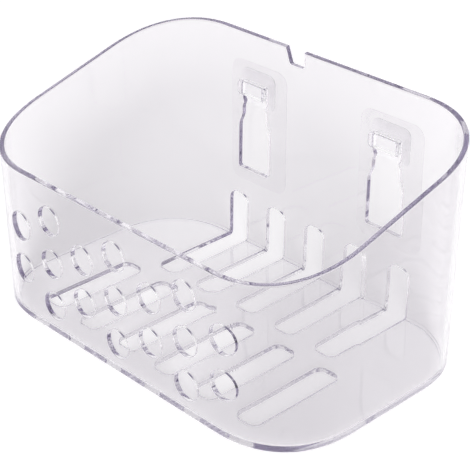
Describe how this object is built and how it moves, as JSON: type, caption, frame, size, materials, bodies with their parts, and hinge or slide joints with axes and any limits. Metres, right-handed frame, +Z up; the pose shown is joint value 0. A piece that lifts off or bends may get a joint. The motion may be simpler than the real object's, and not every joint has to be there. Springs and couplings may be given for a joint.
{
  "type": "adhesive bathroom shelf",
  "caption": "Clear moulded bathroom shelf basket with a sloping rim, drain holes and slots, hung by openings in its back wall on adhesive wall hooks.",
  "frame": {"origin": "centre of the whole shelf's outline seen from above, on the surface that the basket stands on", "axes": "+X along the long side, to the right as seen from the room; +Y towards the wall; +Z up"},
  "size_m": [0.1996, 0.1256, 0.1098],
  "materials": {
    "clear_basket_plastic": "polished clear moulding with a faint cool grey tint",
    "clear_hook_plastic": "polished clear moulding",
    "adhesive_gel": "clear tacky adhesive film"
  },
  "bodies": {
    "wall_hooks": {"left_hook_plate": "clear_hook_plastic", "right_hook_plate": "clear_hook_plastic", "left_adhesive_pad": "adhesive_gel", "right_adhesive_pad": "adhesive_gel"},
    "basket": {"basket": "clear_basket_plastic"}
  },
  "joints": [
    {"name": "basket_lift", "type": "slide", "parent": "wall_hooks", "child": "basket", "axis": [0, 0, 1], "range_m": [0, 0.0383]}
  ]
}
